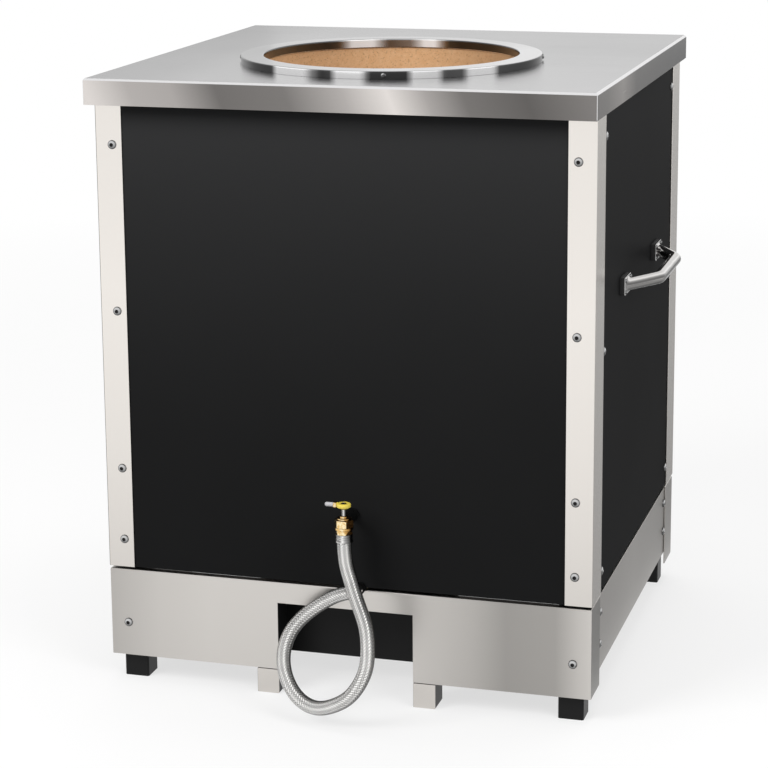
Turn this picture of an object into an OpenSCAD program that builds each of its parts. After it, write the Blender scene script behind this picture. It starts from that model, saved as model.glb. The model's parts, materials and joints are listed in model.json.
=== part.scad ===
// Clay tandoor oven in a square steel housing, fired by gas from below.
// The origin is on the floor under the middle of the body, with the front towards -Y and +Z up.

/* [Body] */
// Width of the body over its corner trims
body_w = 730; // [700:5:900]
// Depth of the body over its corner trims
body_d = 684; // [676:2:900]
// Height of the top plate's upper face over the floor
plate_top = 907; // [820:1:1100]
// Overhang of the top plate at each side
overhang_side = 5; // [1:1:30]
// Overhang of the top plate at the front and the back
overhang_front = 28; // [10:1:50]
// Height of the top plate's folded apron
apron_h = 38; // [25:1:60]
// Distance from the middle of the body to the middle of the mouth, towards the front
mouth_offset = 72; // [30:1:75]

/* [Mouth and pot] */
// Clear diameter of the mouth
mouth_d = 380; // [300:5:390]
// Width of the mouth ring's flat top
ring_flat = 34; // [26:1:40]
// Height of the mouth ring over the top plate
ring_h = 11.5; // [8:0.5:20]
// Depth of the ring's collar below the top plate's upper face
collar_h = 14; // [8:1:30]
// Greatest inner diameter of the pot, at its belly
belly_d = 424; // [400:2:430]
// Inner diameter of the pot at its foot
pot_foot_d = 344; // [280:2:350]
// Thickness of the pot's clay wall
clay_t = 28; // [20:1:30]
// Height of the base plate that carries the pot
base_z = 236; // [232:1:255]
// Thickness of the tile under the pot
tile_t = 25; // [20:1:40]
// Diameter of the flame hole through the base plate and the tile
flame_hole_d = 150; // [120:2:180]

/* [Sheet metal] */
// Thickness of the top plate
plate_t = 3; // [2:0.5:4]
// Thickness of the mouth ring's sheet
ring_t = 2; // [1.5:0.5:3]
// Thickness of the corner trims
trim_t = 2; // [1.5:0.5:3]
// Thickness of the black panels
panel_t = 1.5; // [1:0.5:2]
// Thickness of the skirts
skirt_t = 2; // [1.5:0.5:3]
// Width of a corner trim on the front and the back
trim_front_w = 40; // [30:1:60]
// Width of a corner trim on the sides
trim_side_w = 63; // [40:1:80]
// Height of the trims' and the panels' lower edge
panel_bottom = 176; // [173:1:200]
// Height of the trims' upper edge below the plate's apron
trim_gap = 3; // [1:0.5:8]

/* [Skirts and legs] */
// Height of the front skirt's lower edge
skirt_bottom = 38; // [25:1:50]
// Height of the side skirts' lower edge
side_skirt_bottom = 57; // [40:1:80]
// Height of all the skirts' upper edge
skirt_top = 172; // [165:1:172]
// Width of the cut-out in the front skirt
cutout_w = 205; // [120:5:260]
// Height of the cut-out's upper edge
cutout_top = 140.5; // [100:0.5:150]
// Width of the square posts that end in the feet
post_w = 37.5; // [30:0.5:45]
// Wall of the square posts
post_wall = 2.5; // [2:0.5:4]
// Distance of the posts behind the body's front and back
post_inset_front = 15; // [12:0.5:18]
// Distance of the posts inside the body's sides
post_inset_side = 14; // [12:0.5:25]
// Width of the two legs beside the cut-out
leg_w = 33; // [25:1:45]
// Depth of the two legs beside the cut-out
leg_d = 40; // [25:1:50]
// Distance of the burner shield behind the front
shield_inset = 79; // [66:1:100]

/* [Handles] */
// Height of the handles' middle
handle_z = 598; // [400:1:750]
// Distance of a handle's two plates from the body's middle
handle_half = 130; // [110:1:180]
// Distance from the body's middle to the bends of the grip
handle_grip = 72; // [40:1:78]
// Diameter of a handle's bar
handle_bar_d = 18.5; // [14:0.5:25]
// Distance of the grip's middle line from the plates' faces
handle_reach = 36; // [30:1:60]
// Bend radius of the bar's middle line
handle_bend = 28; // [20:1:40]

/* [Gas valve] */
// Distance of the valve's axis to the right of the body's middle
valve_x = 14; // [-20:1:50]
// Distance of the valve's axis in front of the body
valve_out = 42; // [40:1:60]
// Height of the valve's inlet
valve_z = 285; // [276:1:292]
// Diameter of the valve's stem
stem_d = 6.8; // [5:0.2:9]
// Running clearance around the stem, on the radius
stem_clear = 0.08; // [0.02:0.01:0.1]
// Length of the lever's arm from the stem's axis
lever_l = 28; // [20:1:45]
// Outer diameter of the supply pipe
pipe_d = 21.3; // [17:0.1:27]
// Outer diameter of the rear inlet's thread
inlet_d = 20.96; // [16.6:0.01:26.4]
// Length of the rear inlet's thread
inlet_l = 18; // [12:1:25]

/* [Hose] */
// Outer diameter of the braided hose
hose_d = 20; // [14:1:24]
// Height of the upper ferrule's lip over the hose
ferrule_lip = 2.2; // [1.4:0.1:3]

/* [Screws] */
// Diameter of a screw's head
head_d = 13; // [8:0.5:16]
// Height of a screw's head
head_h = 3.6; // [2:0.2:5]
// Width across the hexagon socket
socket_w = 5; // [3:0.5:6]

/* [Hidden] */
$fn = 72;
fit = 0.3;
small_head_d = 7.5;
small_head_h = 2.6;
small_socket_w = 3;

// Planes of the body
half_w = body_w / 2;
half_d = body_d / 2;
plate_w = body_w + 2 * overhang_side;
plate_d = body_d + 2 * overhang_front;
apron_bottom = plate_top - apron_h;
plate_under = plate_top - plate_t;
trim_top = apron_bottom - trim_gap;
panel_face_x = half_w - trim_t - 0.2;
panel_face_y = half_d - trim_t - 0.2;
panel_top = plate_under - 1;
post_out_x = half_w - post_inset_side;
post_out_y = half_d - post_inset_front;
post_in_x = post_out_x - post_w;
post_in_y = post_out_y - post_w;
skirt_face = half_d - 1;
skirt_side_face = half_w - 1;
skirt_fold = min(post_inset_front, post_inset_side) - 2;

// Places of the screws
trim_screw_z = [panel_bottom + 43, panel_bottom + 152, 565, trim_top - 57];
panel_screw_z = [panel_bottom + 31, 530, trim_top - 31];
side_skirt_screw_z = [side_skirt_bottom + 40, skirt_top - 27];
front_skirt_screw_z = skirt_bottom + 51;
trim_screw_inset = trim_front_w - 14.5;
skirt_screw_inset = 27.5;
side_screw_y = half_d - trim_side_w - head_d / 2 - 2.5;

// Mouth and pot
mouth_y = -mouth_offset;
mouth_r = mouth_d / 2;
ring_r = mouth_r + ring_flat;
plate_hole_r = mouth_r + ring_t + fit;
upstand_r = ring_r - ring_t - fit;
upstand_h = ring_h - ring_t - fit;
pot_mouth_r = plate_hole_r + 0.7;
pot_foot_r = pot_foot_d / 2;
belly_r = belly_d / 2;
base_t = 4;
tile_top = base_z + base_t + tile_t;
pot_top = plate_under - fit;
pot_steps = 20;

// Base frame
foot_t = 4;
rail_h = 25;
rail_d = 25;
rail_t = 3;
rail_top = base_z;

// Handles
pad_t = 5;
mount_t = 3;
mount_w = 46;
mount_h = 26;
mount_face = panel_face_x + pad_t + mount_t;
mount_screw_d = 6;
mount_screw_h = 2.4;
mount_socket_w = 2.5;
mount_screw_y = 18.5;
mount_screw_z = 8.5;

// Valve, hose and fittings
valve_y = -half_d - valve_out;
flange_r = 13.5;
flange_t = 3;
flange_z = valve_z - 8;
body_top = valve_z + 6;
body_w_flats = 24.4;
collar_r = 10.2;
collar_t = 2.5;
gland_r = 5.8;
gland_h = 5;
lever_cone = 2.5;
lever_h = 6;
lever_r = 10.3;
lever_z = body_top + gland_h + 10 + lever_cone;
lever_screw_d = 9;
lever_screw_h = 2;
recess_h = 1;
arm_r = 3.2;
arm_socket_l = 4.5;
hose_nut_w = 22.5;
hose_nut_h = 7;
nipple_hex_w = 18;
nipple_hex_t = 4;
ferrule_d = hose_d + 2 * ferrule_lip;
ferrule_l = 12;
hose_start = [valve_x, valve_y, flange_z - hose_nut_h - ferrule_l];
hose_end = [11, -half_d - 15, skirt_top];
hose_rise = 15;
hose_end_dir = [cos(hose_rise), 0, sin(hose_rise)];
// The loop's points to the right, out from the front and up, chosen for a valve at hose_home
hose_home = [14, 42, 285];
hose_loop = [
    [15, 43, 240], [19, 47, 222], [27, 54, 204], [38, 66, 184], [50, 79, 166],
    [61, 93, 146], [66, 104, 122], [65, 109, 98], [56, 111, 74], [39, 110, 51],
    [15, 107, 35], [-10, 104, 28], [-34, 98, 35], [-54, 88, 54], [-67, 74, 80],
    [-69, 57, 105], [-62, 41, 126], [-48, 28, 144], [-29, 19, 159], [-8, 15, 168]
];
hose_shift = [valve_x - hose_home[0], hose_home[1] - valve_out, valve_z - hose_home[2]];
hose_route = concat(
    [hose_start],
    [for (i = [0 : len(hose_loop) - 1])
        let (p = hose_loop[i])
        [p[0], -half_d - p[1], p[2]] + (1 - (i + 1) / len(hose_loop)) * hose_shift],
    [hose_end]
);
elbow_arm = 6;
elbow_l = 7.5;
elbow_bend = 7;
elbow_at = hose_end + (elbow_arm + elbow_l) * hose_end_dir;
elbow_r = 6.5;
elbow_nut_w = 16.5;
elbow_nut_t = 3.5;
elbow_end = -half_d + skirt_fold + 6;
stub_r = 7;
supply_z = 195;
supply_y = -post_out_y + rail_d + pipe_d / 2 + 1.35;
supply_x = -230;
supply_end = half_d - 10;
supply_bend = 26;
inlet_nut_w = 30;
inlet_nut_h = 10;
shank_r = 5.6;
shank_end = -half_d + 20;
nipple_depth = 7;
reach = valve_out + flange_r;

// Burner
burner_y = mouth_y;
burner_r = 62;
burner_z = 164;
burner_h = 34;
mixer_r = 13;
mixer_wall = 3;

// ---- shared shapes ----

function unit(v) = v / norm(v);

// A matrix that turns the three axes onto the directions x, y and z
function axes(x, y, z) = concat([for (i = [0 : 2]) [x[i], y[i], z[i], 0]], [[0, 0, 0, 1]]);

// A matrix that turns +Z onto the direction v
function along(v) =
    let (w = unit(v), s = abs(w[2]) > 0.9 ? [1, 0, 0] : [0, 0, 1], u = unit(cross(s, w)))
    axes(u, cross(w, u), w);

// A round bar from point a to point b
module rod(a, b, r) {
    translate(a)
        multmatrix(along(b - a))
            cylinder(r = r, h = norm(b - a));
}

// A round pipe through the points p, with every corner bent to the radius bend
module bent_pipe(p, r, bend) {
    last = len(p) - 1;
    turn = [for (i = [1 : last - 1]) acos(unit(p[i] - p[i - 1]) * unit(p[i + 1] - p[i]))];
    cut = [for (i = [0 : last]) i == 0 || i == last ? 0 : bend * tan(turn[i - 1] / 2)];
    for (i = [0 : last - 1])
        rod(p[i] + cut[i] * unit(p[i + 1] - p[i]), p[i + 1] - cut[i + 1] * unit(p[i + 1] - p[i]), r);
    for (i = [1 : last - 1]) {
        a = unit(p[i] - p[i - 1]);
        b = unit(p[i + 1] - p[i]);
        n = unit(cross(a, b));
        out = cross(a, n);
        centre = p[i] - cut[i] * a - bend * out;
        translate(centre)
            multmatrix(axes(out, a, n))
                rotate_extrude(angle = turn[i - 1])
                    translate([bend, 0])
                        circle(r = r);
    }
}

// Tangent of the line p at its point i, where the line starts along t0 and ends along t1
function tangent(p, i, t0, t1) =
    i == 0 ? unit(t0)
    : i == len(p) - 1 ? unit(t1)
    : unit(unit(p[i + 1] - p[i]) + unit(p[i] - p[i - 1]));

// Direction square to the line at its point i, turned as little as possible from the last point's
function sideways(p, i, t0, t1) =
    let (t = tangent(p, i, t0, t1), s = i == 0 ? cross(t, [0, 1, 0.2]) : sideways(p, i - 1, t0, t1))
    unit(s - (s * t) * t);

// A closed tube of the radius r with n sides along the points p
module swept_tube(p, r, n, t0, t1) {
    last = len(p) - 1;
    points = [
        for (i = [0 : last])
            let (t = tangent(p, i, t0, t1), s = sideways(p, i, t0, t1), c = cross(t, s))
            for (k = [0 : n - 1])
                p[i] + r * (cos(360 * k / n) * s + sin(360 * k / n) * c)
    ];
    walls = [
        for (i = [0 : last - 1])
            for (k = [0 : n - 1])
                for (f = [[i * n + k, i * n + (k + 1) % n, (i + 1) * n + k],
                          [(i + 1) * n + k, i * n + (k + 1) % n, (i + 1) * n + (k + 1) % n]])
                    f
    ];
    start_cap = [for (k = [1 : n - 2]) [0, k + 1, k]];
    end_cap = [for (k = [1 : n - 2]) [last * n, last * n + k, last * n + k + 1]];
    polyhedron(points = points, faces = concat(walls, start_cap, end_cap));
}

// A hexagon with a width of w across its flats, trimmed to the turned outline of radii and heights
module hex_turned(w, h, outline) {
    intersection() {
        cylinder(r = w / 2 / cos(30), h = h, $fn = 6);
        rotate_extrude()
            polygon(outline);
    }
}

// A hexagon nut standing on z = 0, with its corners chamfered
module hex_nut(w, h) {
    corner_r = w / 2 / cos(30);
    inner = corner_r - 1.2;
    outer = corner_r + 0.3;
    hex_turned(w, h, [[0, 0], [inner, 0], [outer, 1.5], [outer, h - 1.5], [inner, h], [0, h]]);
}

// A domed screw head with a hexagon socket, standing on z = 0
module screw_head(d, h, w) {
    edge = h * 0.3;
    rise = h - edge;
    ball_r = (pow(d / 2, 2) + pow(rise, 2)) / (2 * rise);
    color("lightgray")
        difference() {
            intersection() {
                cylinder(d = d, h = h);
                translate([0, 0, h - ball_r])
                    sphere(r = ball_r);
            }
            translate([0, 0, h - 1.8])
                cylinder(r = w / 2 / cos(30), h = 2, $fn = 6);
        }
}

// The children at both sides: as drawn, and mirrored across the plane x = 0
module both_sides() {
    children();
    mirror([1, 0, 0])
        children();
}

// The children at the front and at the back
module front_and_back() {
    children();
    mirror([0, 1, 0])
        children();
}

// ---- top plate, mouth and pot ----

// A flat bar's cross-section with two rounded upper corners
module round_top(w, h, r) {
    translate([-w / 2, 0])
        square([w, h - r]);
    translate([-w / 2 + r, 0])
        square([w - 2 * r, h]);
    for (side = [-1, 1])
        translate([side * (w / 2 - r), h - r])
            circle(r = r);
}

// A block with its four upper edges rounded, standing on z = 0
module rounded_slab(w, d, h, r) {
    intersection() {
        rotate([90, 0, 0])
            linear_extrude(d, center = true)
                round_top(w, h, r);
        rotate([90, 0, 90])
            linear_extrude(w, center = true)
                round_top(d, h, r);
    }
}

module top_plate() {
    color("silver")
        difference() {
            union() {
                difference() {
                    translate([0, 0, apron_bottom])
                        rounded_slab(plate_w, plate_d, apron_h, 4);
                    translate([-plate_w / 2 + plate_t, -plate_d / 2 + plate_t, apron_bottom - 1])
                        cube([plate_w - 2 * plate_t, plate_d - 2 * plate_t, apron_h - plate_t + 1]);
                }
                translate([0, mouth_y, plate_under])
                    cylinder(r = upstand_r, h = plate_t + upstand_h);
            }
            translate([0, mouth_y, plate_top])
                cylinder(r = upstand_r - plate_t, h = ring_h);
            translate([0, mouth_y, plate_under - 1])
                cylinder(r = plate_hole_r, h = ring_h + plate_t);
        }
}

// The ring is one turned channel: outer wall, flat top and the collar that hangs in the mouth
module mouth_ring() {
    edge = 1.5;
    color("gainsboro")
        translate([0, mouth_y, plate_top])
            rotate_extrude($fn = 144)
                difference() {
                    union() {
                        translate([mouth_r, -collar_h])
                            square([ring_flat, collar_h + ring_h - edge]);
                        translate([mouth_r + edge, -collar_h])
                            square([ring_flat - 2 * edge, collar_h + ring_h]);
                        for (r = [mouth_r + edge, ring_r - edge])
                            translate([r, ring_h - edge])
                                circle(r = edge);
                    }
                    translate([mouth_r + ring_t, -collar_h - 1])
                        square([ring_flat - 2 * ring_t, collar_h + ring_h - ring_t + 1]);
                    translate([mouth_r + ring_t, -collar_h - 1])
                        square([ring_flat, collar_h + 1]);
                }
}

// Four small screws hold the ring's outer wall
module ring_screws() {
    for (a = [13 : 90 : 283])
        translate([0, mouth_y, plate_top + ring_h / 2])
            rotate([0, 0, a])
                translate([ring_r + 0.1, 0, 0])
                    rotate([0, 90, 0])
                        screw_head(small_head_d, small_head_h, small_socket_w);
}

// Inner radius of the pot at the share t of its height, from the foot (0) to the mouth (1)
function pot_r(t) =
    let (peak = 0.42)
    t < peak
    ? pot_foot_r + (belly_r - pot_foot_r) * sin(90 * t / peak)
    : pot_mouth_r + (belly_r - pot_mouth_r) * pow(cos(90 * (t - peak) / (1 - peak)), 1.5);

// Outline of the pot, thickened by grow, from the tile up to the height top
function pot_outline(grow, top) =
    [for (i = [0 : pot_steps]) [pot_r(i / pot_steps) + grow, tile_top + (top - tile_top) * i / pot_steps]];

module clay_pot() {
    inner = pot_outline(0, pot_top);
    outer = pot_outline(clay_t, pot_top);
    color("peru")
        translate([0, mouth_y, 0])
            rotate_extrude()
                polygon(concat(inner, [for (i = [pot_steps : -1 : 0]) outer[i]]));
}

module pot_tile() {
    color("sandybrown")
        translate([0, mouth_y, base_z + base_t])
            difference() {
                cylinder(r = pot_foot_r + clay_t, h = tile_t);
                translate([0, 0, -1])
                    cylinder(d = flame_hole_d, h = tile_t + 2);
            }
}

// Fill between the pot and the housing, cut round the posts, the pot, the tile and the riser pipe
module insulation() {
    fill_bottom = base_z + base_t + fit;
    fill_top = plate_under - 1.5;
    outer = pot_outline(clay_t + 0.5, fill_top + 1);
    pipe_room = pipe_d / 2 + 2;
    color("whitesmoke")
        difference() {
            translate([-post_out_x + 1, -post_out_y + 1, fill_bottom])
                cube([2 * (post_out_x - 1), 2 * (post_out_y - 1), fill_top - fill_bottom]);
            both_sides()
                front_and_back()
                    translate([post_in_x - 1, post_in_y - 1, fill_bottom - 1])
                        cube([half_w, half_d, fill_top]);
            translate([0, mouth_y, 0])
                rotate_extrude()
                    polygon(concat([[0, tile_top]], outer, [[0, fill_top + 1]]));
            translate([0, mouth_y, fill_bottom - 1])
                cylinder(r = pot_foot_r + clay_t + 0.5, h = tile_top - fill_bottom + 1.5);
            translate([valve_x - pipe_room, -half_d, fill_bottom - 1])
                cube([2 * pipe_room, half_d + supply_y + pipe_room, valve_z + pipe_room + 1 - fill_bottom]);
        }
}

// ---- base frame ----

module base_plate() {
    color("dimgray")
        difference() {
            translate([-post_out_x, -post_out_y, base_z])
                cube([2 * post_out_x, 2 * post_out_y, base_t]);
            both_sides()
                front_and_back()
                    translate([post_in_x - fit, post_in_y - fit, base_z - 1])
                        cube([post_w + 2, post_w + 2, base_t + 2]);
            translate([0, mouth_y, base_z - 1])
                cylinder(d = flame_hole_d, h = base_t + 2);
            translate([valve_x, supply_y, base_z - 1])
                cylinder(d = pipe_d + 2, h = base_t + 2);
        }
}

// An angle bar of the length l along X under the base plate, with its upright leg outside at y = 0
module rail(l) {
    color("dimgray")
        translate([-l / 2, 0, rail_top - rail_h]) {
            cube([l, rail_t, rail_h]);
            translate([0, 0, rail_h - rail_t])
                cube([l, rail_d, rail_t]);
        }
}

module rail_front() {
    translate([0, -post_out_y, 0])
        rail(2 * post_in_x);
}

module rail_right() {
    translate([post_out_x, 0, 0])
        rotate([0, 0, 90])
            rail(2 * post_in_y);
}

// A square tube from the floor to the top plate, closed below by its foot
module post() {
    color("#1c1c1c")
        translate([post_in_x, post_in_y, 0])
            difference() {
                post_block(plate_under);
                translate([post_wall, post_wall, foot_t])
                    cube([post_w - 2 * post_wall, post_w - 2 * post_wall, plate_under]);
            }
}

// The post's outside, with rounded upright edges
module post_block(h) {
    r = 3;
    linear_extrude(h) {
        translate([r, 0])
            square([post_w - 2 * r, post_w]);
        translate([0, r])
            square([post_w, post_w - 2 * r]);
        for (x = [r, post_w - r])
            for (y = [r, post_w - r])
                translate([x, y])
                    circle(r = r);
    }
}

// ---- trims, panels and skirts ----

// The right back trim: an angle with its outer edge rounded
module corner_trim() {
    r = 2;
    color("gainsboro")
        translate([half_w, half_d, panel_bottom])
            linear_extrude(trim_top - panel_bottom)
                difference() {
                    union() {
                        translate([-trim_front_w, -trim_t])
                            square([trim_front_w - r, trim_t]);
                        translate([-trim_t, -trim_side_w])
                            square([trim_t, trim_side_w - r]);
                        translate([-r, -r])
                            circle(r = r);
                    }
                    translate([-half_w - trim_t, -half_d - trim_t])
                        square([half_w, half_d]);
                }
}

// Heads along the trims' front and back faces
module trim_screws() {
    both_sides()
        front_and_back()
            for (z = trim_screw_z)
                translate([half_w - trim_screw_inset, half_d, z])
                    rotate([-90, 0, 0])
                        screw_head(head_d, head_h, socket_w);
}

// A shallow tray of the width w and the height h, face outwards at y = 0, its rim turned in by depth
module tray(w, h, depth, t) {
    difference() {
        translate([-w / 2, 0, 0])
            cube([w, depth, h]);
        translate([-w / 2 + t, t, t])
            cube([w - 2 * t, depth, h - 2 * t]);
    }
}

// The front panel has a hole for the valve's shank and a half notch for the burner's stub
module panel_front() {
    color("#202122")
        difference() {
            translate([0, -panel_face_y, panel_bottom])
                tray(2 * post_out_x, panel_top - panel_bottom, panel_face_y - post_out_y, panel_t);
            translate([valve_x, -panel_face_y - 1, valve_z])
                rotate([-90, 0, 0])
                    cylinder(r = shank_r + 0.5, h = 4);
            stub_notch();
        }
}

module panel_back() {
    color("#202122")
        difference() {
            translate([0, panel_face_y, panel_bottom])
                rotate([0, 0, 180])
                    tray(2 * post_out_x, panel_top - panel_bottom, panel_face_y - post_out_y, panel_t);
            translate([supply_x, panel_face_y + 1, supply_z])
                rotate([90, 0, 0])
                    cylinder(d = pipe_d + 1, h = 4);
        }
}

module panel_right() {
    color("#202122")
        translate([panel_face_x, 0, panel_bottom])
            rotate([0, 0, 90])
                tray(2 * (post_out_y - fit), panel_top - panel_bottom, panel_face_x - post_out_x, panel_t);
}

// Heads on the side panels, just beside the trims
module panel_screws() {
    both_sides()
        front_and_back()
            for (z = panel_screw_z)
                translate([panel_face_x, side_screw_y, z])
                    rotate([0, 90, 0])
                        screw_head(head_d, head_h, socket_w);
}

// The room that the burner's stub takes at the seam between the front panel and the front skirt
module stub_notch() {
    translate([elbow_at[0], -half_d - 1, elbow_at[2]])
        rotate([-90, 0, 0])
            cylinder(r = stub_r + 0.7, h = skirt_fold + 6);
}

// Front skirt: a face with a folded upper edge, and a return along each side
module skirt_shell() {
    h = skirt_top - skirt_bottom;
    difference() {
        translate([0, 0, skirt_bottom])
            rounded_slab(2 * skirt_side_face, 2 * skirt_face, h, skirt_t);
        translate([-skirt_side_face + skirt_t, -skirt_face + skirt_t, skirt_bottom - 1])
            cube([2 * (skirt_side_face - skirt_t), 2 * (skirt_face - skirt_t), h + 1 - skirt_t]);
        translate([-skirt_side_face + skirt_fold, -skirt_face + skirt_fold, skirt_bottom])
            cube([2 * (skirt_side_face - skirt_fold), 2 * (skirt_face - skirt_fold), skirt_top]);
        translate([-half_w, -half_d + trim_side_w, 0])
            cube([body_w, body_d, skirt_top + 1]);
    }
}

module skirt_front() {
    color("silver")
        difference() {
            skirt_shell();
            translate([-cutout_w / 2, -half_d - 1, 0])
                cube([cutout_w, skirt_t + 2, cutout_top]);
            stub_notch();
        }
}

module skirt_back() {
    color("silver")
        mirror([0, 1, 0])
            skirt_shell();
}

// A side skirt lies behind the returns of the front and back skirts
module skirt_right() {
    face = skirt_side_face - skirt_t - 0.2;
    h = skirt_top - skirt_t - 0.2 - side_skirt_bottom;
    color("darkgray")
        difference() {
            translate([post_out_x, -post_out_y, side_skirt_bottom])
                cube([face - post_out_x, 2 * post_out_y, h]);
            translate([post_out_x - 1, -post_out_y - 1, side_skirt_bottom - 1])
                cube([face - post_out_x + 1 - skirt_t, body_d, h + 1 - skirt_t]);
        }
}

// Heads on the side skirts, and one at each end of the front and back skirts
module skirt_screws() {
    both_sides()
        front_and_back() {
            for (z = side_skirt_screw_z)
                translate([skirt_side_face - skirt_t - 0.2, side_screw_y, z])
                    rotate([0, 90, 0])
                        screw_head(head_d, head_h, socket_w);
            translate([half_w - skirt_screw_inset, skirt_face, front_skirt_screw_z])
                rotate([-90, 0, 0])
                    screw_head(head_d, head_h, socket_w);
        }
}

// ---- legs beside the cut-out and the shield behind it ----

module leg_right() {
    color("#1c1c1c")
        translate([cutout_w / 2, -skirt_face + skirt_t, 0])
            difference() {
                cube([leg_w, leg_d, skirt_top - skirt_t - 1]);
                translate([post_wall, post_wall, foot_t])
                    cube([leg_w - 2 * post_wall, leg_d - 2 * post_wall, skirt_top]);
            }
}

module leg_face_right() {
    color("silver")
        translate([cutout_w / 2, -skirt_face, 0])
            cube([leg_w, skirt_t, skirt_bottom - 1.2]);
}

// Upright sheet behind the cut-out, flanged under the base plate
module burner_shield() {
    w = 300;
    color("#1c1c1c")
        difference() {
            translate([-w / 2, -half_d + shield_inset, skirt_bottom])
                cube([w, 25, base_z - skirt_bottom]);
            translate([-w / 2 - 1, -half_d + shield_inset + 2, skirt_bottom - 1])
                cube([w + 2, 25, base_z - skirt_bottom - 1]);
            translate([elbow_at[0], -half_d + shield_inset - 1, elbow_at[2]])
                rotate([-90, 0, 0])
                    cylinder(r = stub_r + 1, h = 4);
        }
}

// ---- handles ----

// A rounded block of the mounts' outline, standing out along +X from x
module mount_block(x, t, w, h, r) {
    translate([x, 0, 0])
        rotate([90, 0, 90])
            linear_extrude(t) {
                square([w - 2 * r, h], center = true);
                square([w, h - 2 * r], center = true);
                for (sy = [-1, 1])
                    for (sz = [-1, 1])
                        translate([sy * (w / 2 - r), sz * (h / 2 - r)])
                            circle(r = r);
            }
}

module handle_pads() {
    color("#1c1c1c")
        both_sides()
            front_and_back()
                translate([0, handle_half, handle_z])
                    mount_block(panel_face_x, pad_t, mount_w, mount_h, 3);
}

module handle_plates() {
    color("gainsboro")
        both_sides()
            front_and_back()
                translate([0, handle_half, handle_z])
                    mount_block(panel_face_x + pad_t, mount_t, mount_w, mount_h, 2);
}

// Middle line of the right handle's bar: slanted legs, round bends and a straight grip
function handle_line() =
    let (
        turn = atan(handle_reach / (handle_half - handle_grip)),
        grip_x = mount_face + handle_reach,
        bend_y = handle_grip - handle_bend * tan(turn / 2),
        bend = [for (i = [0 : 6])
            let (a = turn * i / 6)
            [grip_x - handle_bend * (1 - cos(a)), bend_y + handle_bend * sin(a), handle_z]],
        leg_end = [mount_face - 12, handle_half + 12 / tan(turn), handle_z],
        half = concat(bend, [leg_end])
    )
    concat([for (i = [len(half) - 1 : -1 : 0]) [half[i][0], -half[i][1], half[i][2]]], half);

// The bar is cut flat where it meets its plates
module handle_bar_right() {
    color("gainsboro")
        difference() {
            swept_tube(handle_line(), handle_bar_d / 2, 24,
                [handle_reach, handle_half - handle_grip, 0], [-handle_reach, handle_half - handle_grip, 0]);
            translate([mount_face - 2 * handle_bar_d, -half_d, handle_z - handle_bar_d])
                cube([2 * handle_bar_d, body_d, 2 * handle_bar_d]);
        }
}

// Four small heads at the corners of each plate
module handle_screws() {
    both_sides()
        front_and_back()
            translate([mount_face, handle_half, handle_z])
                for (sy = [-1, 1])
                    for (sz = [-1, 1])
                        translate([0, sy * mount_screw_y, sz * mount_screw_z])
                            rotate([0, 90, 0])
                                screw_head(mount_screw_d, mount_screw_h, mount_socket_w);
}

// ---- gas valve ----

// Angle body: a hexagon over a flange, bored from above for the stem and from behind for the nipple
module valve_body() {
    color("goldenrod")
        difference() {
            union() {
                translate([valve_x, valve_y, flange_z])
                    cylinder(r = flange_r, h = flange_t);
                translate([valve_x, valve_y, flange_z + flange_t])
                    hex_nut(body_w_flats, body_top - flange_z - flange_t);
            }
            translate([valve_x, valve_y, flange_z + flange_t])
                cylinder(d = stem_d + 2 * stem_clear, h = 20);
            translate([valve_x, valve_y + nipple_depth, valve_z])
                rotate([-90, 0, 0])
                    cylinder(r = shank_r + 0.05, h = 20);
        }
}

// Dark nipple from the supply pipe into the valve body, its hexagon against the front panel
module valve_nipple() {
    color("#1c1c1c") {
        translate([valve_x, valve_y + nipple_depth, valve_z])
            rotate([-90, 0, 0])
                cylinder(r = shank_r, h = shank_end - valve_y - nipple_depth);
        translate([valve_x, -panel_face_y - nipple_hex_t, valve_z])
            rotate([-90, 0, 0])
                hex_nut(nipple_hex_w, nipple_hex_t);
    }
}

// Collar and narrow gland on the body, bored for the stem
module valve_bonnet() {
    color("goldenrod")
        translate([valve_x, valve_y, body_top])
            difference() {
                union() {
                    cylinder(r = collar_r, h = collar_t);
                    cylinder(r = gland_r, h = gland_h);
                }
                translate([0, 0, -1])
                    cylinder(d = stem_d + 2 * stem_clear, h = gland_h + 2);
            }
}

// Turned stem, with its lower end in the body and its upper end in the lever
module valve_stem() {
    color("lightgray")
        translate([valve_x, valve_y, flange_z + flange_t + 1])
            cylinder(d = stem_d, h = lever_z - lever_cone - flange_z - flange_t - 1);
}

// Flat round hub with a coned underside, a recess for its screw and an arm towards -X
module valve_lever() {
    edge = 2;
    flat_r = lever_r - edge;
    recess_r = lever_screw_d / 2 + fit;
    floor_z = lever_h - recess_h;
    outline = [
        [0, -lever_cone], [4.5, -lever_cone], [flat_r, 0], [flat_r, lever_h],
        [recess_r, lever_h], [recess_r, floor_z], [0, floor_z]
    ];
    color("gold")
        translate([valve_x, valve_y, lever_z]) {
            rotate_extrude()
                difference() {
                    union() {
                        polygon(outline);
                        translate([0, edge])
                            square([lever_r, lever_h - 2 * edge]);
                        for (z = [edge, lever_h - edge])
                            translate([flat_r, z])
                                circle(r = edge);
                    }
                    translate([-lever_r, -lever_cone - 1])
                        square([lever_r, lever_h + lever_cone + 2]);
                }
            translate([-lever_l + arm_r, 0, lever_h / 2])
                rotate([0, 90, 0])
                    cylinder(r = arm_r - 0.8, h = lever_l - arm_r - recess_r - 1);
            translate([-lever_r - arm_socket_l, 0, lever_h / 2])
                rotate([0, 90, 0])
                    cylinder(r = arm_r + 0.5, h = arm_socket_l + 1.5);
        }
}

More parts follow.
